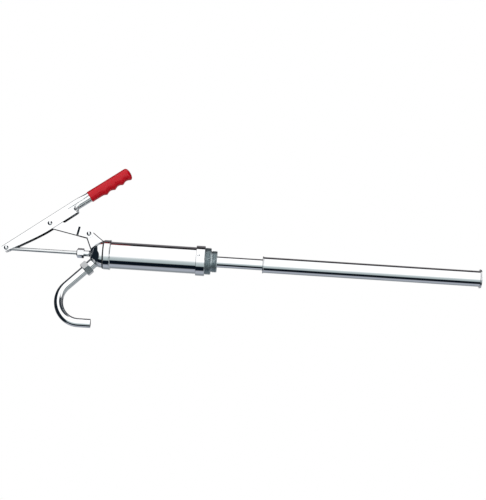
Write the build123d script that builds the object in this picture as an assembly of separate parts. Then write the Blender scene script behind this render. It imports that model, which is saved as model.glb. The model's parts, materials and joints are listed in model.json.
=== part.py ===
from build123d import *
import os
from math import cos, hypot, radians, sin

# Lever-action drum pump, in millimetres.
# The origin lies on the pump's axis, in the seat face that rests on the drum.  +Z runs along the axis
# up to the pump head and the piston rod, and +X points to the side of the lever and its grip.

# ---- barrel and its two collars ----
BARREL_R = 29.4
BORE_R = 28.2
BARREL_LOW = 8.0
BARREL_TOP = 213.0
BASE_SPIGOT_TOP = 12.0
BOTTOM_COLLAR_R = 33.0
BOTTOM_COLLAR_TOP = 19.8
SEAT_RELIEF = 0.9
HEAD_COLLAR_R = 32.2
HEAD_COLLAR_LOW = 206.8
HEAD_COLLAR_TOP = 222.2
HEAD_SEAL_R = 31.0
HEAD_SEAL_THICK = 2.4
COLLAR_BEAD = 0.9
COLLAR_BEAD_WIDTH = 3.2
COLLAR_BEAD_UNDER_R = 2.2
GASKET_THICK = 1.5
SCREW_Z = 13.8
SCREW_R = 2.6
SCREW_TURN = 11.5

# ---- head dome, gland and outlet stub ----
DOME_Z = 224.4
DOME_IN_R = 26.9
NECK_R = 6.4
NECK_WELD_R = 4.0
NECK_TOP = 276.0
PACKING_POCKET_R = 5.3
PACKING_LOW = 262.0
GLAND_NUT_FLATS = 19.0
GLAND_NUT_LOW = 265.6
GLAND_NUT_TOP = 282.3

# ---- bung adapter, made for two drum openings ----
BUNG_R = 29.8
BUNG_LENGTH = 13.2
SMALL_BUNG_R = 23.9
ADAPTER_LENGTH = 26.4
RUN_OUT_WIDTH = 2.2
RUN_OUT_DEPTH = 1.2
THREAD_CHAMFER = 0.8

# ---- piston rod and piston ----
ROD_R = 4.0
PIN_R = 3.0
ROD_EYE_R = 6.0
ROD_EYE_HALF = 7.0
PISTON_LOW = 180.0
PISTON_TOP = 194.0
PORT_R = 3.2
PORT_CIRCLE_R = 14.0
PORTS = 6
VALVE_LIFT = 3.0

# ---- foot valve in the barrel's base ----
FOOT_PORT_R = 9.0
FOOT_SEAT_TOP = 13.0
FOOT_DISC_R = 13.5
FOOT_DISC_THICK = 2.5
FOOT_LIFT = 3.8
FOOT_STEM_R = 3.0
CAGE_R = 17.0
CAGE_WALL = 2.0

# ---- telescopic suction tube ----
INNER_TUBE_R = 12.3
INNER_TUBE_BORE_R = 10.8
INNER_TUBE_END = -506.0
GUIDE_LENGTH = 10.0
OUTER_TUBE_R = 17.5
OUTER_TUBE_BORE_R = 16.0
OUTER_TUBE_MOUTH = -126.5
OUTER_TUBE_END = -606.0
MOUTH_BEAD_R = 18.7
FOOT_RIM_R = 21.0
STRAINER_DEPTH = 4.5
STRAINER_WALL = 1.6
STRAINER_HOLE_R = 1.5
STRAINER_HOLES = ((4.5, 6), (9.0, 12), (13.0, 18))

# ---- outlet at 45 degrees to the axis, and its swan-neck spout ----
STUB_R = 11.5
STUB_WELD_R = 3.0
TUBE_BORE_R = 8.5
STUB_END = 45.5
SPOUT_R = 10.0
SPOUT_START = 46.6
SPOUT_FLANGE_R = 11.3
SPOUT_REACH = 153.7
SPOUT_BEND_R = 46.0
SPOUT_MOUTH_Z = 239.8
UNION_FLATS = 30.0
UNION_LOW = 39.0
UNION_TOP = 54.0

# ---- lever linkage: pin A joins rod and lever, B lever and link, C link and head ----
PIN_A = (0.0, 435.8)
PIN_B = (60.7, 344.9)
PIN_C = (43.1, 257.8)
PIN_HEAD_R = 5.2
PIN_HEAD_RISE = 2.5
PIN_WASHER_R = 5.2

LEVER_ANGLE = 37.05
LEVER_A_ALONG = 7.3
LEVER_A_DEPTH = 8.5
LEVER_HALF = 12.0
LEVER_DEPTH = 27.2
SHEET = 2.0
FOLD_R = 3.5
SHOULDER = 184.0
SHOULDER_R = 4.0
NOSE = ((8, 15.2), (1.5, 13.4), (0, 11))
BELLY = ((120, 27.4), (92, 26.6), (50, 21.8))
STEM_R = 10.6
STEM_BORE_R = 8.8
STEM_DEPTH = 10.7
STEM_START = 170.0
STEM_END = 318.0
STEM_TILT = 0.6
GRIP_START = 220.5
GRIP_LENGTH = 105.0
GRIP_TOP = 12.7
GRIP_BOTTOM = 13.0
GRIP_HALF = 12.7
GRIP_WAVE = 3.9
GRIP_WAVES = 4
GRIP_FIRST_WAVE = 36.0
GRIP_WAVE_PITCH = 20.7

LINK_R = 9.5
LINK_EYE_R = 8.6
LINK_NARROW_HALF = 8.0
LINK_WIDE_HALF = 10.0
LINK_JOGGLE = 26.5
LINK_JOGGLE_RUN = 5.0
LINK_WEB_START = 10.0
LINK_WEB_END = 75.0
SLOT_LENGTH = 9.1
SLOT_PLAY = 1.05
SLOT_CENTRE = (-0.57, 0.37)
SLOT_TURN = 56.6
EAR_R = 8.6
EAR_HALF = 7.5
EAR_SHEET = 3.0
EAR_FOLD_R = 3.4
EAR_ROOTS = ((8.6, 252.5), (5.0, 232.0), (27.5, 222.5))

# ---- clearances ----
RUNNING = 0.05
GAP = 0.3
OPEN = 40.0


def ring(outer_r, inner_r, low, high):
    """A plain ring or tube about the Z axis."""
    height = high - low
    body = Pos(0, 0, low + height / 2) * Cylinder(outer_r, height)
    return body - Pos(0, 0, low + height / 2) * Cylinder(inner_r, height + 2)


def disc(radius, low, high):
    """A plain round bar about the Z axis."""
    return Pos(0, 0, (low + high) / 2) * Cylinder(radius, high - low)


def turned(points):
    """A turned body: a closed outline of (radius, height) points swept about the Z axis."""
    outline = Polyline([(r, 0, z) for r, z in points], close=True)
    return revolve(make_face(outline), Axis.Z)


def hexagon(flats, low, high, chamfer_top=1.0, chamfer_low=1.0):
    """A hexagon bar about Z whose corners are turned off at a 30 degree chamfer."""
    corner = flats / 2 / cos(radians(30))
    bar = Pos(0, 0, low) * extrude(RegularPolygon(corner, 6), high - low)
    rise = corner - flats / 2
    cone = turned([
        (0, low),
        (corner - chamfer_low * rise, low),
        (corner, low + chamfer_low * rise * 0.58),
        (corner, high - chamfer_top * rise * 0.58),
        (corner - chamfer_top * rise, high),
        (0, high),
    ])
    return bar & cone


def across(pin, radius, half, start=None):
    """A round bar along Y through the point pin, from start (or -half) to +half."""
    low = -half if start is None else start
    return Pos(pin[0], (low + half) / 2, pin[1]) * Rot(90, 0, 0) * Cylinder(radius, half - low)


def rivet(pin, half):
    """A pin through two cheeks, with a domed head outside each one."""
    body = across(pin, PIN_R, half)
    dome_r = (PIN_HEAD_R ** 2 + PIN_HEAD_RISE ** 2) / (2 * PIN_HEAD_RISE)
    for side in (-1, 1):
        centre = side * (half + PIN_HEAD_RISE - dome_r)
        cap = Pos(pin[0], centre, pin[1]) * Sphere(dome_r)
        slab = Pos(pin[0], side * (half + PIN_HEAD_RISE), pin[1]) * Box(20, 2 * PIN_HEAD_RISE, 20)
        body += cap & slab
    return body


def weld(bar_r, weld_r):
    """The hollow fillet between a dome about the origin and a round bar that leaves it along Z."""
    centre_height = ((BARREL_R + weld_r) ** 2 - (bar_r + weld_r) ** 2) ** 0.5
    share = BARREL_R / (BARREL_R + weld_r)
    dome_end = (share * (bar_r + weld_r), share * centre_height)
    bar_end = (bar_r, centre_height)
    hollow = RadiusArc(bar_end, dome_end, -weld_r)
    back = Polyline(dome_end, (bar_r - 1, dome_end[1] - 2), (bar_r - 1, centre_height), bar_end)
    return Rot(90, 0, 0) * revolve(make_face(hollow + back), Axis.Y) - Sphere(BARREL_R)


# Planes: the outlet's own axis, the lever's outer edge, the link's centre line
OUTLET = Plane(origin=(0, 0, DOME_Z), x_dir=(0, 1, 0), z_dir=(-1, 0, 1))

edge_x = sin(radians(LEVER_ANGLE))
edge_z = cos(radians(LEVER_ANGLE))
LEVER = Plane(
    origin=(
        PIN_A[0] - edge_x * LEVER_A_ALONG + edge_z * LEVER_A_DEPTH,
        0,
        PIN_A[1] + edge_z * LEVER_A_ALONG + edge_x * LEVER_A_DEPTH,
    ),
    x_dir=(edge_x, 0, -edge_z),
    z_dir=(0, 1, 0),
)

LINK_LENGTH = hypot(PIN_B[0] - PIN_C[0], PIN_B[1] - PIN_C[1])
link_x = (PIN_B[0] - PIN_C[0]) / LINK_LENGTH
link_z = (PIN_B[1] - PIN_C[1]) / LINK_LENGTH
LINK = Plane(origin=(PIN_C[0], 0, PIN_C[1]), x_dir=(link_x, 0, link_z), z_dir=(0, -1, 0))


# ---------------------------------------------------------------- pump barrel

def barrel_tube():
    return ring(BARREL_R, BORE_R, BARREL_LOW, BARREL_TOP)


def barrel_base():
    """The plug under the barrel, with the suction socket below and the foot valve's seat above."""
    return turned([
        (INNER_TUBE_R, 0),
        (BARREL_R, 0),
        (BARREL_R, BARREL_LOW),
        (BORE_R, BARREL_LOW),
        (BORE_R, BASE_SPIGOT_TOP),
        (FOOT_PORT_R + 2.5, BASE_SPIGOT_TOP),
        (FOOT_PORT_R + 1.5, FOOT_SEAT_TOP),
        (FOOT_PORT_R, FOOT_SEAT_TOP),
        (FOOT_PORT_R, 5),
        (INNER_TUBE_R, 5),
    ])


def screw_place():
    """Turns and lifts a bar along Z so that it points out of the bottom collar, near -Y."""
    return Pos(0, 0, SCREW_Z) * Rot(0, 0, SCREW_TURN) * Rot(90, 0, 0)


def bottom_collar():
    """The ring whose lower face seats on the drum, bevelled inside to clear the thread."""
    body = ring(BOTTOM_COLLAR_R, BARREL_R, 0, BOTTOM_COLLAR_TOP)
    outer_rims = body.edges().filter_by(GeomType.CIRCLE).filter_by(lambda e: e.radius > BARREL_R + 1)
    body = fillet(outer_rims, 1.2)
    body -= turned([
        (BARREL_R - 1, 0), (BARREL_R + SEAT_RELIEF, 0), (BARREL_R, SEAT_RELIEF), (BARREL_R - 1, SEAT_RELIEF)
    ])
    return body - screw_place() * disc(SCREW_R, BARREL_R, OPEN)


def collar_screw():
    """A locking screw with a low domed head that stands just proud of the collar."""
    shank = disc(SCREW_R, BARREL_R + GAP, BOTTOM_COLLAR_R)
    dome_r = 5.0
    head = Pos(0, 0, BOTTOM_COLLAR_R + 0.8 - dome_r) * Sphere(dome_r)
    screw = shank + (head & disc(SCREW_R, BOTTOM_COLLAR_R, OPEN))
    return screw_place() * screw


def head_collar():
    """The ring that holds the dome on the barrel, with a bead round its lower edge."""
    body = ring(HEAD_COLLAR_R, BARREL_R, HEAD_COLLAR_LOW, HEAD_COLLAR_TOP)
    bead_top = HEAD_COLLAR_LOW + COLLAR_BEAD_WIDTH
    body -= ring(HEAD_COLLAR_R + 1, BARREL_R, HEAD_COLLAR_LOW - 1, bead_top)
    bead = ring(HEAD_COLLAR_R + COLLAR_BEAD, BARREL_R, HEAD_COLLAR_LOW, bead_top)
    rims = bead.edges().filter_by(GeomType.CIRCLE).filter_by(lambda e: e.radius > BARREL_R + 1)
    low_rim, high_rim = rims.sort_by(Axis.Z)
    bead = fillet(low_rim, COLLAR_BEAD_UNDER_R)
    high_rim = bead.edges().filter_by(GeomType.CIRCLE).sort_by(Axis.Z)[-2:].filter_by(
        lambda e: e.radius > BARREL_R + 1
    )
    body += fillet(high_rim, COLLAR_BEAD - 0.1)
    top_rim = body.edges().filter_by(GeomType.CIRCLE).sort_by(Axis.Z)[-2:]
    outer = [e for e in top_rim if e.radius > BARREL_R + 1]
    return fillet(outer, 1.4)


def head_gasket():
    return ring(BARREL_R, DOME_IN_R, BARREL_TOP, BARREL_TOP + GASKET_THICK)


def head_seal():
    """The dark sealing ring that shows between the dome and its collar."""
    body = ring(HEAD_SEAL_R, BARREL_R, HEAD_COLLAR_TOP, HEAD_COLLAR_TOP + HEAD_SEAL_THICK)
    return body - Pos(0, 0, DOME_Z) * Sphere(BARREL_R)


# ---------------------------------------------------------------- pump head

def head_dome():
    """A pressed dome on a short skirt, bored for the gland neck and for the outlet stub."""
    skirt_low = BARREL_TOP + GASKET_THICK
    outside = disc(BARREL_R, skirt_low, DOME_Z) + Pos(0, 0, DOME_Z) * Sphere(BARREL_R)
    inside = disc(DOME_IN_R, skirt_low - 1, DOME_Z) + Pos(0, 0, DOME_Z) * Sphere(DOME_IN_R)
    above = Pos(0, 0, skirt_low + 50) * Box(100, 100, 100)
    shell = (outside & above) - inside
    shell -= disc(NECK_R, DOME_Z, NECK_TOP)
    return shell - OUTLET.location * disc(STUB_R, 10, STUB_END)


def gland_neck():
    """The threaded neck in the top of the dome: rod bore below, packing pocket above."""
    low = DOME_Z + DOME_IN_R - 3
    body = disc(NECK_R, low, NECK_TOP) + Pos(0, 0, DOME_Z) * weld(NECK_R, NECK_WELD_R)
    body += ring(NECK_R + 2.0, NECK_R - 1, low, low + 4) & Pos(0, 0, DOME_Z) * Sphere(DOME_IN_R)
    body -= disc(ROD_R + GAP, low - 1, NECK_TOP + 1)
    return body - disc(PACKING_POCKET_R, PACKING_LOW, NECK_TOP + 1)


def gland_packing():
    """Three square packing rings round the rod, as separate solids."""
    step = 2.7
    rings = [
        ring(PACKING_POCKET_R, ROD_R + RUNNING, PACKING_LOW + n * step, PACKING_LOW + (n + 1) * step - 0.1)
        for n in range(3)
    ]
    return Compound(children=rings)


def gland_follower():
    """The bush that the gland nut presses down on the packing."""
    return ring(PACKING_POCKET_R, ROD_R + GAP, PACKING_LOW + 8.2, NECK_TOP + 0.4)


def gland_nut():
    nut = hexagon(GLAND_NUT_FLATS, GLAND_NUT_LOW, GLAND_NUT_TOP, chamfer_top=3.2, chamfer_low=1.0)
    nut -= disc(NECK_R + RUNNING, GLAND_NUT_LOW - 1, NECK_TOP + 0.6)
    return nut - disc(ROD_R + GAP, NECK_TOP, GLAND_NUT_TOP + 1)


def outlet_stub():
    """The stub that the spout screws on to, welded round the dome's 45 degree hole."""
    stub = ring(STUB_R, TUBE_BORE_R, 20, STUB_END) + weld(STUB_R, STUB_WELD_R)
    return OUTLET.location * (stub - Sphere(DOME_IN_R))


def spout_washer():
    return OUTLET.location * ring(SPOUT_FLANGE_R, TUBE_BORE_R, STUB_END, STUB_END + 1.0)


def ear_bracket():
    """Two cheeks that carry pin C, folded from one plate and welded to the dome."""
    pin_edge = (Pos(*PIN_C) * Circle(EAR_R)).edges()
    top = make_hull(pin_edge + Polyline(*EAR_ROOTS, close=True).edges())
    plate = extrude(top, EAR_HALF, both=True)
    plate = Plane.XZ.location * fillet(plate.edges().filter_by(Plane.XY), EAR_FOLD_R)
    inner_slot = Pos(-EAR_SHEET, 0, 1.5) * Plane.XZ.location * extrude(top, EAR_HALF - EAR_SHEET, both=True)
    around_pin = across(PIN_C, EAR_R + 4, EAR_HALF - EAR_SHEET)
    bracket = plate - inner_slot - around_pin
    bracket -= Pos(0, 0, DOME_Z) * Sphere(BARREL_R)
    bracket -= disc(BARREL_R, 200, DOME_Z)
    bracket -= disc(HEAD_COLLAR_R + 1, 200, HEAD_COLLAR_TOP + HEAD_SEAL_THICK)
    bracket -= disc(NECK_R + 0.2, DOME_Z, NECK_TOP)
    bracket -= Pos(0, 0, DOME_Z) * weld(NECK_R + 0.2, NECK_WELD_R)
    bracket -= across(PIN_C, PIN_R, OPEN)
    return max(bracket.solids(), key=lambda s: s.volume)


def link_pin():
    return rivet(PIN_C, LINK_WIDE_HALF + 0.2)


# ---------------------------------------------------------------- bung adapter and suction tube

def bung_adapter():
    """The adapter below the barrel: a large thread from the shoulder down, a run-out, a smaller thread."""
    step = -BUNG_LENGTH
    end = -ADAPTER_LENGTH
    run_out_r = SMALL_BUNG_R - RUN_OUT_DEPTH
    return turned([
        (INNER_TUBE_R, 0),
        (BUNG_R, 0),
        (BUNG_R, step + THREAD_CHAMFER),
        (BUNG_R - THREAD_CHAMFER, step),
        (run_out_r, step),
        (run_out_r, step - RUN_OUT_WIDTH),
        (SMALL_BUNG_R, step - RUN_OUT_WIDTH),
        (SMALL_BUNG_R, end + THREAD_CHAMFER),
        (SMALL_BUNG_R - THREAD_CHAMFER, end),
        (INNER_TUBE_R, end),
    ])


def suction_tube_inner():
    return ring(INNER_TUBE_R, INNER_TUBE_BORE_R, INNER_TUBE_END, 5)


def inner_guide_ring():
    low = INNER_TUBE_END
    return ring(OUTER_TUBE_BORE_R - RUNNING, INNER_TUBE_R, low, low + GUIDE_LENGTH)


def suction_tube_outer():
    """The sliding tube, with a rolled bead round its mouth."""
    body = ring(OUTER_TUBE_R, OUTER_TUBE_BORE_R, OUTER_TUBE_END, OUTER_TUBE_MOUTH)
    bead = ring(MOUTH_BEAD_R, OUTER_TUBE_BORE_R, OUTER_TUBE_MOUTH - 3, OUTER_TUBE_MOUTH)
    rims = bead.edges().filter_by(GeomType.CIRCLE).filter_by(lambda e: e.radius > OUTER_TUBE_R)
    return body + fillet(rims, 1.1)


def mouth_bush():
    """The bush that guides and seals the sliding tube's mouth."""
    inner_r = INNER_TUBE_R + RUNNING
    return ring(OUTER_TUBE_BORE_R, inner_r, OUTER_TUBE_MOUTH - 20, OUTER_TUBE_MOUTH - 1)


def foot_rim():
    body = ring(FOOT_RIM_R, OUTER_TUBE_R, OUTER_TUBE_END, OUTER_TUBE_END + 2.6)
    rims = body.edges().filter_by(GeomType.CIRCLE).filter_by(lambda e: e.radius > OUTER_TUBE_R + 1)
    return fillet(rims, 1.1)


def foot_strainer():
    """A domed strainer with rings of round holes, on a spigot inside the tube's end."""
    rim_r = FOOT_RIM_R - 1.0
    dome_r = (rim_r ** 2 + STRAINER_DEPTH ** 2) / (2 * STRAINER_DEPTH)
    centre = Pos(0, 0, OUTER_TUBE_END - STRAINER_DEPTH + dome_r)
    below = Pos(0, 0, OUTER_TUBE_END - 25) * Box(80, 80, 50)
    shell = (centre * Sphere(dome_r) & below) - centre * Sphere(dome_r - STRAINER_WALL)
    shell += ring(rim_r, OUTER_TUBE_BORE_R - STRAINER_WALL, OUTER_TUBE_END - 1.6, OUTER_TUBE_END)
    shell += ring(
        OUTER_TUBE_BORE_R, OUTER_TUBE_BORE_R - STRAINER_WALL, OUTER_TUBE_END - 1.6, OUTER_TUBE_END + 8
    )
    hole = disc(STRAINER_HOLE_R, OUTER_TUBE_END - 2 * STRAINER_DEPTH, OUTER_TUBE_END - 0.5)
    holes = [hole]
    for circle_r, count in STRAINER_HOLES:
        holes += [Rot(0, 0, 360 * n / count) * Pos(circle_r, 0, 0) * hole for n in range(count)]
    return shell - holes


# ---------------------------------------------------------------- foot valve

def foot_valve_disc():
    top = FOOT_SEAT_TOP + FOOT_DISC_THICK
    stem_top = top + FOOT_LIFT + CAGE_WALL + 1.0
    return disc(FOOT_DISC_R, FOOT_SEAT_TOP, top) + disc(FOOT_STEM_R, top - 1, stem_top)


def foot_valve_cage():
    """A cap over the foot valve that guides the disc's stem and stops its lift."""
    ceiling = FOOT_SEAT_TOP + FOOT_DISC_THICK + FOOT_LIFT + 0.1
    cage = disc(CAGE_R, BASE_SPIGOT_TOP, ceiling + CAGE_WALL)
    cage -= disc(CAGE_R - CAGE_WALL, BASE_SPIGOT_TOP - 1, ceiling)
    cage -= disc(FOOT_STEM_R + RUNNING, ceiling - 1, OPEN)
    window_z = (BASE_SPIGOT_TOP + 1.5 + ceiling) / 2
    window_height = ceiling - BASE_SPIGOT_TOP - 1.5
    for turn in range(4):
        window = Pos(CAGE_R, 0, window_z) * Box(2 * CAGE_WALL + 2, 12, window_height)
        port = Pos(9.5, 0, ceiling) * Cylinder(2.6, 3 * CAGE_WALL)
        cage -= Rot(0, 0, 90 * turn) * window
        cage -= Rot(0, 0, 90 * turn) * port
    return cage


# ---------------------------------------------------------------- piston rod and piston

def piston_rod():
    eye_low = PIN_A[1] - ROD_EYE_R + 1.2
    rod = disc(ROD_R, PISTON_LOW - 16, eye_low)
    return rod - across(PIN_A, ROD_EYE_R, ROD_EYE_HALF + 1)


def rod_eye():
    """The cross-bored eye that is screwed and brazed on the rod's upper end."""
    eye = across(PIN_A, ROD_EYE_R, ROD_EYE_HALF)
    return eye - across(PIN_A, PIN_R + RUNNING, OPEN)


def ports():
    """The round ports through the piston and its clamp plate."""
    hole = disc(PORT_R, PISTON_LOW - OPEN, PISTON_TOP + OPEN)
    return [Rot(0, 0, 360 * n / PORTS) * Pos(PORT_CIRCLE_R, 0, 0) * hole for n in range(PORTS)]


def piston_body():
    body = turned([
        (ROD_R, PISTON_LOW),
        (BORE_R - GAP, PISTON_LOW),
        (BORE_R - GAP, PISTON_LOW + 5),
        (BORE_R - GAP - 4, PISTON_LOW + 5),
        (BORE_R - GAP - 4, PISTON_TOP),
        (ROD_R, PISTON_TOP),
    ])
    return body - ports()


def piston_cup():
    """The cup seal under the piston, whose lip hangs down the barrel's wall."""
    lip_r = BORE_R - RUNNING
    return turned([
        (PORT_CIRCLE_R + PORT_R + 1.0, PISTON_LOW - 3),
        (lip_r - 3.5, PISTON_LOW - 3),
        (lip_r - 1.2, PISTON_LOW - 11),
        (lip_r, PISTON_LOW - 11),
        (lip_r, PISTON_LOW),
        (PORT_CIRCLE_R + PORT_R + 1.0, PISTON_LOW),
    ])


def piston_clamp_plate():
    low = PISTON_LOW - 6
    plate = ring(22.5, ROD_R, low, PISTON_LOW - 3)
    hub = ring(PORT_CIRCLE_R + PORT_R + 1.0, ROD_R, PISTON_LOW - 3, PISTON_LOW)
    return plate + hub - ports()


def piston_nut():
    nut = hexagon(16, PISTON_LOW - 13, PISTON_LOW - 6)
    return nut - disc(ROD_R, PISTON_LOW - 20, PISTON_LOW)


def piston_valve():
    """The ring-shaped valve that covers the piston's ports and lifts off them."""
    return ring(PORT_CIRCLE_R + PORT_R + 2.5, ROD_R + GAP, PISTON_TOP, PISTON_TOP + 2)


def piston_valve_stop():
    low = PISTON_TOP + 2 + VALVE_LIFT + 0.1
    return ring(12, ROD_R, low, low + 3)


# ---------------------------------------------------------------- spout

def spout_bar(radius, start, mouth_z):
    """A round bar along the spout's whole line: 45 degrees out, one bend over, straight down."""
    lean = sin(radians(45))
    bend_x = SPOUT_BEND_R - SPOUT_REACH
    straight_end = -bend_x / lean - SPOUT_BEND_R
    bend_z = DOME_Z + (straight_end - SPOUT_BEND_R) * lean
    leg_place = Pos(-SPOUT_REACH, 0, 0)
    straight = OUTLET.location * disc(radius, start, straight_end)
    section = leg_place * Pos(0, 0, bend_z) * Circle(radius)
    bend = revolve(section, Axis((bend_x, 0, bend_z), (0, 1, 0)), 135)
    leg = leg_place * disc(radius, mouth_z, bend_z)
    return straight + bend + leg


def spout_tube():
    """The swan-neck spout, with the flange that the union nut draws down."""
    tube = spout_bar(SPOUT_R, SPOUT_START, SPOUT_MOUTH_Z)
    tube += OUTLET.location * disc(SPOUT_FLANGE_R, SPOUT_START, SPOUT_START + 2)
    return tube - spout_bar(TUBE_BORE_R, SPOUT_START - 1, SPOUT_MOUTH_Z - 1)


def spout_nut():
    nut = hexagon(UNION_FLATS, UNION_LOW, UNION_TOP, chamfer_top=1.6, chamfer_low=1.2)
    nut -= disc(STUB_R + RUNNING, UNION_LOW - 1, SPOUT_START + 2 + GAP)
    return OUTLET.location * (nut - disc(SPOUT_R + GAP, SPOUT_START, UNION_TOP + 1))


# ---------------------------------------------------------------- lever and link

STEM = LEVER.location * Pos(STEM_START, STEM_DEPTH, 0) * Rot(0, 0, STEM_TILT)


def lever_side():
    """The lever's cheek: straight outer edge, belly round pin B, rounded shoulder at the stem."""
    shoulder_low = (SHOULDER, LEVER_DEPTH - SHOULDER_R)
    shoulder_end = (SHOULDER - SHOULDER_R, LEVER_DEPTH)
    return make_face(
        Polyline((0, 0), (SHOULDER, 0), shoulder_low)
        + RadiusArc(shoulder_low, shoulder_end, -SHOULDER_R)
        + Spline(
            shoulder_end, *BELLY, NOSE[0],
            tangents=((-1, 0), (-1, -0.15)),
        )
        + Polyline(*NOSE, (0, 0))
    )


def folded_bar(low, high, half, fold_r, top):
    """A bar along X whose two edges at the top, Y = top, are rounded as a folded sheet's are."""
    deep = 2 * LEVER_DEPTH
    section = Plane.YZ.location * Pos(top + deep / 2, 0) * Rectangle(deep, 2 * half)
    bar = Pos(low, 0, 0) * extrude(section, high - low)
    folds = bar.edges().filter_by(Axis.X).group_by(Axis.Y)[0]
    return fillet(folds, fold_r)


def lever_channel():
    """A steel channel, open on the inner side, whose end is rolled into a round stem."""
    stem_length = STEM_END - STEM_START
    stem = STEM * Rot(0, 90, 0) * disc(STEM_R, 0, stem_length)
    bore = STEM * Rot(0, 90, 0) * disc(STEM_BORE_R, -20, stem_length + 1)
    outside = folded_bar(-1, SHOULDER + 1, LEVER_HALF, FOLD_R, 0)
    cheeks = extrude(lever_side(), LEVER_HALF, both=True) & outside
    room = folded_bar(-20, SHOULDER - 6, LEVER_HALF - SHEET, FOLD_R - SHEET, SHEET)
    body = LEVER.location * (cheeks - room) + stem - LEVER.location * room - bore
    for pin in (PIN_A, PIN_B):
        body -= across(pin, PIN_R, OPEN)
    return body


def rod_pin():
    return rivet(PIN_A, LEVER_HALF)


def lever_pin():
    return rivet(PIN_B, LEVER_HALF)


def rod_pin_washers():
    """Two spacing washers on pin A, one each side of the rod's eye."""
    washers = []
    for side in (-1, 1):
        near = ROD_EYE_HALF + GAP
        far = LEVER_HALF - SHEET
        start, end = sorted((side * near, side * far))
        washer = across(PIN_A, PIN_WASHER_R, end, start) - across(PIN_A, PIN_R, OPEN)
        washers.append(washer.solid())
    return Compound(children=washers)


def grip():
    """A sleeve on the stem: oval, with finger waves on the inner side and a domed end."""
    last_wave = GRIP_FIRST_WAVE + (GRIP_WAVES - 1) * GRIP_WAVE_PITCH
    corner = 6.0
    waves = [(GRIP_FIRST_WAVE - 12, GRIP_BOTTOM)]
    for n in range(GRIP_WAVES - 1):
        crest = GRIP_FIRST_WAVE + n * GRIP_WAVE_PITCH
        waves.append((crest, GRIP_BOTTOM + GRIP_WAVE))
        waves.append((crest + GRIP_WAVE_PITCH / 2, GRIP_BOTTOM))
    waves.append((last_wave, GRIP_BOTTOM + GRIP_WAVE))
    top_corner = (GRIP_LENGTH - corner, -GRIP_TOP)
    outline = make_face(
        Polyline((0, -GRIP_TOP), top_corner)
        + Spline(top_corner, (GRIP_LENGTH, 0), (last_wave + 3, GRIP_BOTTOM + GRIP_WAVE - 2), waves[-1])
        + Spline(*reversed(waves))
        + Polyline(waves[0], (0, GRIP_BOTTOM), (0, -GRIP_TOP))
    )
    reach = GRIP_TOP + GRIP_BOTTOM + GRIP_WAVE
    oval = Pos(0, reach / 2 - GRIP_TOP, 0) * Rot(0, 90, 0) * extrude(
        Ellipse(GRIP_HALF, reach / 2 + 0.3), GRIP_LENGTH + 1
    )
    sleeve = extrude(outline, GRIP_HALF, both=True) & oval
    sleeve -= Rot(0, 90, 0) * disc(STEM_R, -1, STEM_END - GRIP_START + GAP)
    return STEM * Pos(GRIP_START - STEM_START, 0, 0) * sleeve


def link_plan(inset, low, high):
    """The link seen on its web: wide at the head's ear, stepping in to fit inside the lever."""
    wide = LINK_WIDE_HALF - inset
    narrow = LINK_NARROW_HALF - inset
    step = LINK_JOGGLE - inset / 2
    half = Polyline(
        (low, 0), (low, wide), (step - LINK_JOGGLE_RUN, wide), (step, narrow), (high, narrow), (high, 0)
    )
    whole = make_face(half + mirror(half, Plane.XZ))
    return Rot(-90, 0, 0) * extrude(whole, OPEN, both=True)


def link():
    """A channel that straddles the head's ear at C and narrows to fit between the lever's cheeks."""
    eye_x = LINK_LENGTH - 0.8
    side = Pos(eye_x / 2, 0) * Rectangle(eye_x, 2 * LINK_R)
    blank = extrude(side, LINK_WIDE_HALF, both=True) + Cylinder(LINK_R, 2 * LINK_WIDE_HALF)
    blank -= Pos(eye_x + OPEN / 2, 0, 0) * Box(OPEN, OPEN, OPEN)
    blank += Pos(eye_x, 0, 0) * Cylinder(LINK_EYE_R, 2 * LINK_WIDE_HALF)
    body = blank & link_plan(0, -OPEN, LINK_LENGTH + OPEN)
    room = link_plan(SHEET, -OPEN, LINK_LENGTH + OPEN)
    under_web = Pos(LINK_LENGTH / 2, SHEET - LINK_R + OPEN / 2, 0) * Box(3 * LINK_LENGTH, OPEN, OPEN)
    body -= room & under_web
    for low, high in ((-OPEN, LINK_WEB_START), (LINK_WEB_END, LINK_LENGTH + OPEN)):
        body -= room & Pos((low + high) / 2, 0, 0) * Box(high - low, OPEN, OPEN)
    body -= Cylinder(PIN_R + RUNNING, 4 * LINK_WIDE_HALF)
    slot = SlotCenterToCenter(SLOT_LENGTH, 2 * (PIN_R + SLOT_PLAY))
    slot = Pos(LINK_LENGTH + SLOT_CENTRE[0], SLOT_CENTRE[1]) * Rot(0, 0, SLOT_TURN) * slot
    body -= extrude(slot, 2 * LINK_WIDE_HALF, both=True)
    return LINK.location * body


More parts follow.
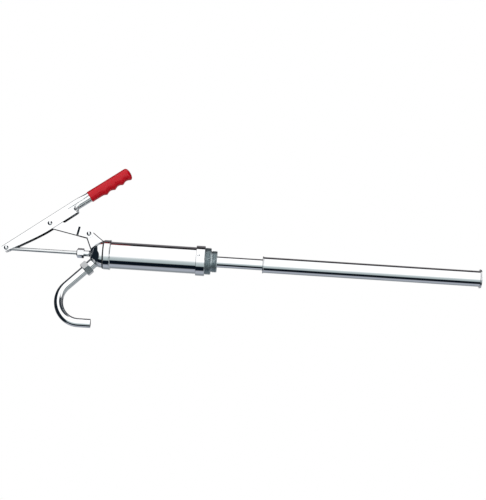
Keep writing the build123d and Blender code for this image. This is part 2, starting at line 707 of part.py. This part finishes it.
NODES = {
    "barrel_tube": barrel_tube,
    "barrel_base": barrel_base,
    "bottom_collar": bottom_collar,
    "collar_screw": collar_screw,
    "head_collar": head_collar,
    "head_gasket": head_gasket,
    "head_seal": head_seal,
    "head_dome": head_dome,
    "gland_neck": gland_neck,
    "gland_packing": gland_packing,
    "gland_follower": gland_follower,
    "gland_nut": gland_nut,
    "outlet_stub": outlet_stub,
    "spout_washer": spout_washer,
    "ear_bracket": ear_bracket,
    "link_pin": link_pin,
    "bung_adapter": bung_adapter,
    "suction_tube_inner": suction_tube_inner,
    "inner_guide_ring": inner_guide_ring,
    "suction_tube_outer": suction_tube_outer,
    "mouth_bush": mouth_bush,
    "foot_rim": foot_rim,
    "foot_strainer": foot_strainer,
    "foot_valve_disc": foot_valve_disc,
    "foot_valve_cage": foot_valve_cage,
    "piston_rod": piston_rod,
    "rod_eye": rod_eye,
    "piston_body": piston_body,
    "piston_cup": piston_cup,
    "piston_clamp_plate": piston_clamp_plate,
    "piston_nut": piston_nut,
    "piston_valve": piston_valve,
    "piston_valve_stop": piston_valve_stop,
    "spout_tube": spout_tube,
    "spout_nut": spout_nut,
    "lever_channel": lever_channel,
    "rod_pin": rod_pin,
    "rod_pin_washers": rod_pin_washers,
    "lever_pin": lever_pin,
    "grip": grip,
    "link": link,
}

os.makedirs("parts", exist_ok=True)
for name, make in NODES.items():
    export_step(make(), f"parts/{name}.step")
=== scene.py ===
import json
from math import cos, exp, hypot, pi, radians, sin, sqrt

import bpy
from mathutils import Matrix, Vector


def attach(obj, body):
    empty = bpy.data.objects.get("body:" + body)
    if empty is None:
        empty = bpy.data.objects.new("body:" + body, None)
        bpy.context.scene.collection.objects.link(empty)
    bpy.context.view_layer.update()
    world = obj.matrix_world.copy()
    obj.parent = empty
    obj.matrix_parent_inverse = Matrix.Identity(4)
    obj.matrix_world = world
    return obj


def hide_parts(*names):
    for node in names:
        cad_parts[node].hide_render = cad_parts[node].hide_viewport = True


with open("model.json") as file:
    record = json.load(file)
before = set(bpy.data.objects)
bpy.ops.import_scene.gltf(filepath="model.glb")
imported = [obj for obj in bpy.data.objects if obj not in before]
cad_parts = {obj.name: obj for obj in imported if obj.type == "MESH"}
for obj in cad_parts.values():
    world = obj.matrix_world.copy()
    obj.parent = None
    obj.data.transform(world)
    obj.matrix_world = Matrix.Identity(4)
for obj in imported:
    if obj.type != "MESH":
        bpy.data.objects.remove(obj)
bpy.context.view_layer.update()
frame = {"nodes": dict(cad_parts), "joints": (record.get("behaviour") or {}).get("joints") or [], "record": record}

MM = 0.001

# where the lever hangs on the rod, in metres
PIN_A = next(j for j in frame["joints"] if j["name"] == "lever_hinge")["pos_m"]

# ------------------------------------------------------------------ sizes in mm, as the CAD has them

# the lever's angle is taken from straight down, outwards; along runs from its tip, depth from its outer edge
LEVER_ANGLE = radians(37.05)
LEVER_A_ALONG = 7.3
LEVER_A_DEPTH = 8.5
LEVER_HALF = 12.0
FOLD_R = 3.5
SHEET = 2.0
SHEET_EDGE_ROUND = 0.45
STEM_R = 10.6
STEM_START = 170.0
STEM_DEPTH = 10.7
STEM_END = 318.0
STEM_TILT = radians(0.6)
# (along, depth) of the cheek's free edge
CHEEK_DEPTH = [
    (0, 11), (1.5, 13.4), (8, 15.2), (50, 21.8),
    (92, 26.6), (120, 27.4), (175, 27.2), (STEM_END, 27.2),
]
# (depth, along) of the crease where the cheek begins to roll into the stem
CREASE = [
    (0, 276), (6, 254), (9.8, 226), (10.2, 215), (10.7, 205), (11.6, 196),
    (13.4, 188), (16, 183), (19.5, 179.5), (23, 180.5), (27.2, 182),
]
CREASE_PROBE = 0.2
ROLL_RUN = 3.8
CREASE_GROOVE = 2.3
CREASE_GROOVE_WIDTH = 1.8
# the groove dies out towards the outer edge
GROOVE_FADE_RUN = 7.0
GROOVE_FADE_SHARE = 0.3
POCKET = (182.0, 19.5)
POCKET_DEPTH = 3.2
POCKET_WIDTH = 3.6
SEAM_HALF_ANGLE = 0.05
SEAM_HALF_GAP = 0.3
# the folds of the lever widen into the stem's round top over this length
ROUNDING_START = 190.0
ROUNDING_RUN = 30.0

GRIP_START = 220.5
GRIP_LENGTH = 105.0
GRIP_RADIUS = 12.8
GRIP_FIT = 0.05
GRIP_MOUTH_ROUND = 1.2
GRIP_MOUTH_BEVEL = 0.35
GRIP_WAVE = 4.0
GRIP_FIRST_WAVE = 36.0
GRIP_WAVE_PITCH = 20.6
GRIP_WAVES = 4
GRIP_CREST_ROUND = 0.02
GRIP_END_WAVE = 0.86
GRIP_END_ROUND = 9.5

BUNG_R = 29.8
BUNG_LENGTH = 13.2
SMALL_BUNG_R = 23.9
ADAPTER_LENGTH = 26.4
ADAPTER_BORE = 12.3
RUN_OUT_WIDTH = 2.2
THREAD_PITCH = 2.31
THREAD_DEPTH = 1.3

# ------------------------------------------------------------------ mesh density

# the lever has close rows round its tip and its shoulder, and few on the straight stretches
FINE_STEP = 0.5
CHEEK_STEP = 4.0
TIP_END = 10.0
SHOULDER_FROM = 166.0
SHOULDER_TO = 230.0
STEM_STATIONS = [232.0, 262.0, 290.0]
LEVER_HALF_COLUMNS = 72
GRIP_COLUMNS = 72
GRIP_ROWS = 150
ADAPTER_COLUMNS = 144
THREAD_ROWS_PER_TURN = 10


# ------------------------------------------------------------------ material helpers

def new_material(name):
    """A material, its node tree and the Principled shader in it."""
    material = bpy.data.materials.new(name)
    material.use_nodes = True
    tree = material.node_tree
    return material, tree, tree.nodes["Principled BSDF"]


def node(tree, kind, **settings):
    """A new node; each setting is the value of an input of that name, or else a property of the node."""
    made = tree.nodes.new(kind)
    for key, value in settings.items():
        if key in made.inputs:
            made.inputs[key].default_value = value
        else:
            setattr(made, key, value)
    return made


def texture_space(tree, scale=(1, 1, 1)):
    """Object coordinates in metres, scaled axis by axis."""
    coords = node(tree, "ShaderNodeTexCoord")
    mapping = node(tree, "ShaderNodeMapping")
    mapping.inputs["Scale"].default_value = scale
    tree.links.new(coords.outputs["Object"], mapping.inputs["Vector"])
    return mapping.outputs["Vector"]


def noise(tree, vector, scale, detail=4.0, roughness=0.55):
    made = node(tree, "ShaderNodeTexNoise", Scale=scale, Detail=detail, Roughness=roughness)
    tree.links.new(vector, made.inputs["Vector"])
    return made.outputs["Fac"]


def ramp(tree, value, stops):
    """A colour ramp over value; stops are (position, colour or grey)."""
    made = node(tree, "ShaderNodeValToRGB")
    elements = made.color_ramp.elements
    while len(elements) < len(stops):
        elements.new(0.5)
    for element, (position, colour) in zip(elements, stops):
        element.position = position
        grey = isinstance(colour, (int, float))
        element.color = (colour, colour, colour, 1.0) if grey else (*colour, 1.0)
    tree.links.new(value, made.inputs["Fac"])
    return made.outputs["Color"]


def bump(tree, shader, height, strength, distance):
    made = node(tree, "ShaderNodeBump", Strength=strength, Distance=distance)
    tree.links.new(height, made.inputs["Height"])
    tree.links.new(made.outputs["Normal"], shader.inputs["Normal"])


# ------------------------------------------------------------------ materials

def metal(name, light, dark, rough_low, rough_high, grain=(1, 1, 1), grain_scale=90.0, wave=0.0):
    """A plated or ground metal: cloudy tone, patchy roughness, fine polish lines and slight waviness."""
    cloud_scale = 28.0
    wave_scale = 60.0
    wave_height = 0.4 * MM
    material, tree, shader = new_material(name)
    shader.inputs["Metallic"].default_value = 1.0
    plain = texture_space(tree)
    clouds = noise(tree, plain, cloud_scale)
    tree.links.new(ramp(tree, clouds, [(0.3, dark), (0.7, light)]), shader.inputs["Base Color"])
    smears = noise(tree, texture_space(tree, grain), grain_scale, detail=6.0, roughness=0.62)
    tree.links.new(ramp(tree, smears, [(0.35, rough_low), (0.75, rough_high)]), shader.inputs["Roughness"])
    if wave:
        bump(tree, shader, noise(tree, plain, wave_scale, detail=2.0), wave, wave_height)
    return material


def cast_metal(name, light, dark):
    """A dull cast metal with a sandy skin and darker, smoother patches."""
    cloud_scale = 70.0
    rough_low, rough_high = 0.30, 0.44
    sand_scale = 1400.0
    sand_strength = 0.25
    sand_height = 0.2 * MM
    material, tree, shader = new_material(name)
    shader.inputs["Metallic"].default_value = 1.0
    plain = texture_space(tree)
    clouds = noise(tree, plain, cloud_scale, detail=8.0, roughness=0.7)
    tree.links.new(ramp(tree, clouds, [(0.35, dark), (0.65, light)]), shader.inputs["Base Color"])
    tree.links.new(ramp(tree, clouds, [(0.3, rough_low), (0.7, rough_high)]), shader.inputs["Roughness"])
    bump(tree, shader, noise(tree, plain, sand_scale), sand_strength, sand_height)
    return material


def moulded(name, light, dark, rough_low, rough_high, grain_scale=900.0, grain=0.15,
            tint=(1, 1, 1), coat=0.0):
    """Moulded vinyl, plastic or rubber: faint colour drift and a fine grain, with or without a gloss."""
    cloud_scale = 45.0
    coat_roughness = 0.12
    grain_height = 0.2 * MM
    material, tree, shader = new_material(name)
    plain = texture_space(tree)
    clouds = noise(tree, plain, cloud_scale, detail=3.0)
    tree.links.new(ramp(tree, clouds, [(0.3, dark), (0.7, light)]), shader.inputs["Base Color"])
    speckle = noise(tree, plain, grain_scale, detail=3.0)
    tree.links.new(ramp(tree, speckle, [(0.3, rough_low), (0.7, rough_high)]), shader.inputs["Roughness"])
    shader.inputs["Specular Tint"].default_value = (*tint, 1.0)
    shader.inputs["Coat Weight"].default_value = coat
    shader.inputs["Coat Roughness"].default_value = coat_roughness
    if grain:
        bump(tree, shader, speckle, grain, grain_height)
    return material


CHROME = metal(
    "chrome", (0.84, 0.85, 0.86), (0.80, 0.81, 0.825), 0.03, 0.07,
    grain=(1, 1, 0.08), grain_scale=160.0, wave=0.015,
)
STAMPING = metal(
    "plated_stamping", (0.84, 0.85, 0.855), (0.80, 0.81, 0.82), 0.05, 0.11, grain_scale=120.0, wave=0.02
)
FASTENER = metal(
    "plated_fastener", (0.80, 0.81, 0.82), (0.72, 0.735, 0.75), 0.06, 0.15, grain_scale=260.0, wave=0.03
)
BRIGHT = metal(
    "bright_steel", (0.74, 0.75, 0.76), (0.64, 0.65, 0.66), 0.08, 0.20, grain=(1, 1, 14)
)
ALUMINIUM = metal("cast_aluminium", (0.72, 0.73, 0.74), (0.62, 0.63, 0.64), 0.22, 0.34, grain_scale=200.0)
BRASS = metal("valve_brass", (0.80, 0.62, 0.30), (0.66, 0.49, 0.22), 0.18, 0.32, grain_scale=200.0)
ZINC = cast_metal("die_cast_zinc", (0.52, 0.58, 0.60), (0.38, 0.44, 0.46))
VINYL = moulded(
    "grip_vinyl", (0.80, 0.001, 0.014), (0.74, 0.001, 0.010), 0.24, 0.30,
    grain_scale=2600.0, grain=0.0, tint=(1.0, 0.16, 0.22), coat=0.4,
)
RUBBER = moulded("seal_rubber", (0.035, 0.035, 0.036), (0.022, 0.022, 0.023), 0.55, 0.7)
NYLON = moulded("guide_plastic", (0.80, 0.79, 0.74), (0.72, 0.71, 0.66), 0.4, 0.5)

FINISH = {
    "chrome": CHROME,
    "plated_stamping": STAMPING,
    "plated_fastener": FASTENER,
    "die_cast_zinc": ZINC,
    "bright_steel": BRIGHT,
    "cast_aluminium": ALUMINIUM,
    "valve_brass": BRASS,
    "seal_rubber": RUBBER,
    "guide_plastic": NYLON,
    "grip_vinyl": VINYL,
}


def dress_cad_nodes():
    """Gives every CAD node the finish of its material slot."""
    slot_of = {s["node"]: s["material_slot"] for s in frame["record"]["subparts"]}
    for name, piece in frame["nodes"].items():
        piece.data.materials.clear()
        piece.data.materials.append(FINISH[slot_of[name]])


# ------------------------------------------------------------------ curves

def curve_value(points, x):
    """A smooth curve through (x, y) points, with its slopes taken from the neighbours."""
    if x <= points[0][0]:
        return points[0][1]
    for n in range(len(points) - 1):
        (x0, y0), (x1, y1) = points[n], points[n + 1]
        if x > x1:
            continue
        before, after = points[max(n - 1, 0)], points[min(n + 2, len(points) - 1)]
        slope0 = (y1 - before[1]) / (x1 - before[0])
        slope1 = (after[1] - y0) / (after[0] - x0)
        t, run = (x - x0) / (x1 - x0), x1 - x0
        return (
            (2 * t ** 3 - 3 * t ** 2 + 1) * y0 + (t ** 3 - 2 * t ** 2 + t) * run * slope0
            + (3 * t ** 2 - 2 * t ** 3) * y1 + (t ** 3 - t ** 2) * run * slope1
        )
    return points[-1][1]


def smooth_step(x):
    """0 below 0, 1 above 1, and a smooth rise between."""
    x = min(max(x, 0.0), 1.0)
    return x * x * (3 - 2 * x)


def bell(x):
    """1 at 0, falling off smoothly to both sides."""
    return exp(-x * x)


def spaced(start, stop, step):
    """Places from start on, short of stop."""
    return [start + n * step for n in range(round((stop - start) / step))]


# ------------------------------------------------------------------ mesh helpers

def new_piece(name, vertices, faces, material, body, replaces):
    """A smooth-shaded mesh piece that rides on a body and stands for CAD nodes."""
    mesh = bpy.data.meshes.new(name)
    mesh.from_pydata(vertices, [], faces)
    mesh.validate()
    mesh.update()
    for polygon in mesh.polygons:
        polygon.use_smooth = True
    mesh.materials.append(material)
    piece = bpy.data.objects.new(name, mesh)
    bpy.context.scene.collection.objects.link(piece)
    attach(piece, body)
    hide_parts(*replaces)
    return piece


def grid_faces(rows, columns, wrap=False):
    """Quads over a grid of vertices that was filled row by row."""
    faces = []
    for r in range(rows - 1):
        for c in range(columns if wrap else columns - 1):
            d = (c + 1) % columns
            faces.append((r * columns + c, (r + 1) * columns + c, (r + 1) * columns + d, r * columns + d))
    return faces


def lever_point(along, depth, side):
    """A place on the lever, in the object's frame."""
    from_pin = along - LEVER_A_ALONG
    into = depth - LEVER_A_DEPTH
    x = PIN_A[0] + (sin(LEVER_ANGLE) * from_pin - cos(LEVER_ANGLE) * into) * MM
    z = PIN_A[2] - (cos(LEVER_ANGLE) * from_pin + sin(LEVER_ANGLE) * into) * MM
    return (x, side * MM, z)


def stem_axis(along):
    """Depth of the stem's axis."""
    return STEM_DEPTH + (along - STEM_START) * sin(STEM_TILT)


# ------------------------------------------------------------------ lever

def channel_section(share, depth, fold_r):
    """Half the folded channel: share 0 is the web's middle and 1 the cheek's free edge."""
    web = LEVER_HALF - fold_r
    fold = fold_r * pi / 2
    path = share * (web + fold + depth - fold_r)
    if path < web:
        return 0.0, path
    if path < web + fold:
        turn = (path - web) / fold_r
        return fold_r * (1 - cos(turn)), web + fold_r * sin(turn)
    return fold_r + path - web - fold, LEVER_HALF


def stem_section(share, axis):
    """Half the round stem: share 0 is its top and 1 the seam below."""
    angle = share * (pi - SEAM_HALF_ANGLE)
    return axis - STEM_R * cos(angle), STEM_R * sin(angle)


def past_crease(along, down):
    """Distance square to the crease: below 0 on the flat cheek, above 0 on the rolled stem."""
    rise = curve_value(CREASE, down + CREASE_PROBE) - curve_value(CREASE, down - CREASE_PROBE)
    return (along - curve_value(CREASE, down)) / hypot(1, rise / (2 * CREASE_PROBE))


def dent(along, down, past):
    """How far the cheek is pressed in, by the groove along the crease or by the round pocket."""
    fade = smooth_step(down / GROOVE_FADE_RUN - GROOVE_FADE_SHARE)
    groove = CREASE_GROOVE * bell(past / CREASE_GROOVE_WIDTH) * fade
    reach = hypot(along - POCKET[0], down - POCKET[1])
    return max(groove, POCKET_DEPTH * bell(reach / POCKET_WIDTH))


def lever_row(along):
    """One row across the lever, from the near cheek's free edge over the web to the far one's."""
    depth = curve_value(CHEEK_DEPTH, along)
    fold_r = FOLD_R + (STEM_R - FOLD_R) * smooth_step((along - ROUNDING_START) / ROUNDING_RUN)
    row = []
    for column in range(-LEVER_HALF_COLUMNS, LEVER_HALF_COLUMNS + 1):
        share = abs(column) / LEVER_HALF_COLUMNS
        side = -1 if column < 0 else 1
        down, out = channel_section(share, depth, fold_r)
        round_down, round_out = stem_section(share, stem_axis(along))
        past = past_crease(along, down)
        rolled = smooth_step(past / ROLL_RUN)
        half = out + (round_out - out) * rolled - dent(along, down, past)
        row.append(lever_point(
            along, down + (round_down - down) * rolled, side * max(half, SEAM_HALF_GAP)
        ))
    return row


def build_lever():
    """The lever: one folded sheet whose cheeks are rolled in along a crease to make the round stem."""
    stations = spaced(0, TIP_END, FINE_STEP) + spaced(TIP_END, SHOULDER_FROM, CHEEK_STEP)
    stations += spaced(SHOULDER_FROM, SHOULDER_TO, FINE_STEP) + STEM_STATIONS + [STEM_END]
    vertices = [point for along in stations for point in lever_row(along)]
    faces = grid_faces(len(stations), 2 * LEVER_HALF_COLUMNS + 1)
    lever = new_piece(
        "lever_pressing", vertices, faces, STAMPING, "lever", ["lever_channel"]
    )
    sheet = lever.modifiers.new("sheet", "SOLIDIFY")
    sheet.thickness = SHEET * MM
    sheet.offset = -1.0
    rim = lever.modifiers.new("rim", "BEVEL")
    rim.width = SHEET_EDGE_ROUND * MM
    rim.segments = 2
    rim.limit_method = "ANGLE"
    rim.angle_limit = radians(50)
    rim.harden_normals = True


# ------------------------------------------------------------------ grip

def finger_wave(along):
    """Height of the grip's inner side, 0 in a hollow and nearly 1 on a crest."""
    last_crest = GRIP_FIRST_WAVE + (GRIP_WAVES - 1) * GRIP_WAVE_PITCH
    phase = (along - GRIP_FIRST_WAVE) / GRIP_WAVE_PITCH
    if phase < -0.5:
        return 0.0
    if along > last_crest:
        return GRIP_END_WAVE
    return max(1 - sqrt(sin(pi * phase) ** 2 + GRIP_CREST_ROUND), 0)


def build_grip():
    """The grip: a dipped sleeve with four finger waves on the inner side and a rounded end."""
    rings = [
        (0.0, STEM_R + GRIP_FIT, STEM_R + GRIP_FIT),
        (0.0, GRIP_RADIUS - GRIP_MOUTH_ROUND, GRIP_RADIUS - GRIP_MOUTH_ROUND),
        (GRIP_MOUTH_BEVEL, GRIP_RADIUS - GRIP_MOUTH_BEVEL, GRIP_RADIUS - GRIP_MOUTH_BEVEL),
    ]
    for n in range(GRIP_ROWS + 1):
        along = GRIP_MOUTH_ROUND + (GRIP_LENGTH - GRIP_MOUTH_ROUND) * sin(n / GRIP_ROWS * pi / 2)
        closing = max(along - (GRIP_LENGTH - GRIP_END_ROUND), 0) / GRIP_END_ROUND
        fullness = sqrt(max(1 - closing ** 3, 0))
        inner_side = GRIP_RADIUS + finger_wave(along) * GRIP_WAVE
        rings.append((along, GRIP_RADIUS * fullness, inner_side * fullness))
    vertices = []
    for along, top, bottom in rings:
        axis = stem_axis(GRIP_START + along)
        for c in range(GRIP_COLUMNS):
            angle = 2 * pi * c / GRIP_COLUMNS
            reach = top if cos(angle) > 0 else bottom
            vertices.append(lever_point(GRIP_START + along, axis - reach * cos(angle), top * sin(angle)))
    faces = grid_faces(len(rings), GRIP_COLUMNS, wrap=True)
    new_piece("grip_sleeve", vertices, faces, VINYL, "lever", ["grip"])


# ------------------------------------------------------------------ bung adapter

def thread_rows(thread_r, top, bottom):
    """Rows of one threaded length: height, radius at the root, and how far the crests rise, 0 to 1."""
    count = int((top - bottom) / THREAD_PITCH * THREAD_ROWS_PER_TURN)
    rows = []
    for n in range(count + 1):
        z = top + (bottom - top) * n / count
        rise = smooth_step(min(top - z, z - bottom) / THREAD_PITCH)
        rows.append((z, thread_r - THREAD_DEPTH, rise))
    return rows


def build_adapter():
    """The drum adapter, with real helical threads on both steps."""
    sharp_from = radians(35)
    small_top = -BUNG_LENGTH - RUN_OUT_WIDTH
    small_root = SMALL_BUNG_R - THREAD_DEPTH
    rows = [(0, ADAPTER_BORE, 0), (0, BUNG_R - THREAD_DEPTH, 0)]
    rows += thread_rows(BUNG_R, 0, -BUNG_LENGTH)
    rows += [(-BUNG_LENGTH, small_root, 0), (small_top, small_root, 0)]
    rows += thread_rows(SMALL_BUNG_R, small_top, -ADAPTER_LENGTH)
    rows += [(-ADAPTER_LENGTH, ADAPTER_BORE, 0), (0, ADAPTER_BORE, 0)]
    vertices = []
    for z, root, rise in rows:
        for c in range(ADAPTER_COLUMNS):
            turn = c / ADAPTER_COLUMNS
            groove = abs(((z / THREAD_PITCH + turn) % 1.0) * 2 - 1)
            radius = root + THREAD_DEPTH * rise * (1 - groove)
            angle = 2 * pi * turn
            vertices.append((radius * cos(angle) * MM, radius * sin(angle) * MM, z * MM))
    faces = grid_faces(len(rows), ADAPTER_COLUMNS, wrap=True)
    adapter = new_piece(
        "bung_adapter_threads", vertices, faces, ZINC, "pump_body", ["bung_adapter"]
    )
    adapter.data.set_sharp_from_angle(angle=sharp_from)


# ------------------------------------------------------------------ world

WHITE = (1.3, 1.3, 1.3)
PEARL = (0.60, 0.67, 0.68)
VIOLET = (0.42, 0.45, 0.51)
DUSK = (0.17, 0.16, 0.17)
SHADE = (0.04, 0.05, 0.06)
BLACK = (0.003, 0.006, 0.012)
WARM_BLACK = (0.012, 0.010, 0.012)
CEILING = (0.010, 0.016, 0.024)
# the sockets of a mix node that carry colours
MIX_FIRST = 6
MIX_SECOND = 7
MIX_RESULT = 2


def at(azimuth):
    """An azimuth in degrees as a ramp position; 0 is towards -Y and 90 towards +X."""
    return (azimuth + 180.0) / 360.0


def share_of(tree, value, low, high):
    """Maps a value from low to high onto 0 to 1."""
    share = node(tree, "ShaderNodeMapRange")
    share.inputs["From Min"].default_value = low
    share.inputs["From Max"].default_value = high
    tree.links.new(value, share.inputs["Value"])
    return share.outputs["Result"]


def compass_and_height(tree):
    """A direction's azimuth and height, each as 0 to 1."""
    coords = node(tree, "ShaderNodeTexCoord")
    split = node(tree, "ShaderNodeSeparateXYZ")
    tree.links.new(coords.outputs["Generated"], split.inputs["Vector"])
    flip = node(tree, "ShaderNodeMath", operation="MULTIPLY")
    flip.inputs[1].default_value = -1.0
    tree.links.new(split.outputs["Y"], flip.inputs[0])
    turn = node(tree, "ShaderNodeMath", operation="ARCTAN2")
    tree.links.new(split.outputs["X"], turn.inputs[0])
    tree.links.new(flip.outputs[0], turn.inputs[1])
    return share_of(tree, turn.outputs[0], -pi, pi), share_of(tree, split.outputs["Z"], -1.0, 1.0)


def side_light(tree, compass):
    """What stands round the object at its own height: a broad white side, a dark flag, grey fall-off."""
    return ramp(tree, compass, [
        (at(-180), (0.50, 0.50, 0.52)),
        (at(-141), (0.24, 0.27, 0.29)),
        (at(-122), VIOLET),
        (at(-98), VIOLET),
        (at(-88), BLACK),
        (at(-57), BLACK),
        (at(-52), (0.42, 0.50, 0.51)),
        (at(-30), PEARL),
        (at(-14), WHITE),
        (at(88), WHITE),
        (at(94), WARM_BLACK),
        (at(112), WARM_BLACK),
        (at(120), DUSK),
        (at(146), DUSK),
        (at(166), (0.52, 0.50, 0.51)),
    ])


def light_from_below(tree, compass):
    """What slanted faces reflect from low down: pale panels, two narrow dark flags and a dark side."""
    return ramp(tree, compass, [
        (at(-180), (0.45, 0.46, 0.48)),
        (at(-135), (0.36, 0.39, 0.41)),
        (at(-84), (0.42, 0.46, 0.48)),
        (at(-76), SHADE),
        (at(-70), SHADE),
        (at(-62), (0.55, 0.61, 0.60)),
        (at(-44), (0.62, 0.68, 0.68)),
        (at(-37), (0.04, 0.06, 0.07)),
        (at(-29), (0.04, 0.06, 0.07)),
        (at(-21), WHITE),
        (at(-7), WHITE),
        (at(4), SHADE),
        (at(170), SHADE),
    ])


def ceiling_drop(tree, compass):
    """How far the dark ceiling comes down, as a share of the height, by azimuth."""
    return ramp(tree, compass, [
        (at(-60), 0.06),
        (at(-40), 0.10),
        (at(-5), 0.10),
        (at(30), 0.0),
        (at(85), 0.03),
        (at(100), 0.12),
        (at(160), 0.12),
        (at(178), 0.0),
    ])


def build_world():
    """A studio that surfaces reflect, by direction; the camera itself sees plain white paper."""
    below_full, below_none = 0.32, 0.37
    ceiling_none, ceiling_full = 0.82, 0.86
    world = bpy.data.worlds.new("studio")
    bpy.context.scene.world = world
    world.use_nodes = True
    tree = world.node_tree
    tree.nodes.clear()
    compass, height = compass_and_height(tree)

    low = node(tree, "ShaderNodeMix", data_type="RGBA")
    tree.links.new(ramp(tree, height, [(below_full, 1.0), (below_none, 0.0)]), low.inputs["Factor"])
    tree.links.new(side_light(tree, compass), low.inputs[MIX_FIRST])
    tree.links.new(light_from_below(tree, compass), low.inputs[MIX_SECOND])

    raised = node(tree, "ShaderNodeMath", operation="ADD")
    tree.links.new(height, raised.inputs[0])
    tree.links.new(ceiling_drop(tree, compass), raised.inputs[1])
    cap = node(tree, "ShaderNodeMix", data_type="RGBA")
    dark = ramp(tree, raised.outputs[0], [(ceiling_none, 0.0), (ceiling_full, 1.0)])
    tree.links.new(dark, cap.inputs["Factor"])
    tree.links.new(low.outputs[MIX_RESULT], cap.inputs[MIX_FIRST])
    cap.inputs[MIX_SECOND].default_value = (*CEILING, 1.0)

    studio = node(tree, "ShaderNodeBackground", Strength=1.0)
    tree.links.new(cap.outputs[MIX_RESULT], studio.inputs["Color"])
    paper = node(tree, "ShaderNodeBackground", Color=(1.0, 1.0, 1.0, 1.0), Strength=1.0)
    rays = node(tree, "ShaderNodeLightPath")
    mix = node(tree, "ShaderNodeMixShader")
    tree.links.new(rays.outputs["Is Camera Ray"], mix.inputs["Fac"])
    tree.links.new(studio.outputs[0], mix.inputs[1])
    tree.links.new(paper.outputs[0], mix.inputs[2])
    out = node(tree, "ShaderNodeOutputWorld")
    tree.links.new(mix.outputs[0], out.inputs["Surface"])


# ------------------------------------------------------------------ camera and floor

def build_camera():
    """The camera lies over on its side, so that the pump's axis runs nearly level across the picture."""
    aim = Vector((0.0303, 0, -0.0818))
    distance = 3.3
    azimuth = radians(10)
    roll = radians(3.7)
    width_seen = 1.069
    picture_width, picture_height = 486, 500
    back = Vector((-sin(azimuth), -cos(azimuth), 0))
    level_up = Vector((cos(azimuth), -sin(azimuth), 0))
    down_axis = Vector((0, 0, -1))
    right = down_axis * cos(roll) + level_up * sin(roll)
    up = level_up * cos(roll) - down_axis * sin(roll)
    data = bpy.data.cameras.new("camera")
    camera = bpy.data.objects.new("camera", data)
    bpy.context.scene.collection.objects.link(camera)
    # the sensor's width lies along the picture's longer side, which is its height
    height_seen = width_seen * picture_height / picture_width
    data.sensor_width = 36.0
    data.lens = data.sensor_width * distance / height_seen
    data.clip_end = 20
    camera.location = aim + back * distance
    camera.rotation_mode = "QUATERNION"
    camera.rotation_quaternion = Matrix((right, up, back)).transposed().to_quaternion()
    bpy.context.scene.camera = camera


def build_floor():
    """A round pale floor, just below the fully extended suction tube."""
    radius, z = 0.6, -0.97
    count = 96
    angles = [2 * pi * n / count for n in range(count)]
    mesh = bpy.data.meshes.new("floor")
    mesh.from_pydata([(radius * cos(a), radius * sin(a), z) for a in angles], [], [tuple(range(count))])
    material, tree, shader = new_material("floor_paper")
    shader.inputs["Roughness"].default_value = 0.9
    fibre = noise(tree, texture_space(tree), 40.0)
    tree.links.new(ramp(tree, fibre, [(0.3, 0.86), (0.7, 0.90)]), shader.inputs["Base Color"])
    mesh.materials.append(material)
    floor = bpy.data.objects.new("floor", mesh)
    bpy.context.scene.collection.objects.link(floor)


# ------------------------------------------------------------------ the scene

bpy.context.scene.view_settings.view_transform = "Standard"
build_camera()
build_world()
build_floor()
dress_cad_nodes()
build_lever()
build_grip()
build_adapter()
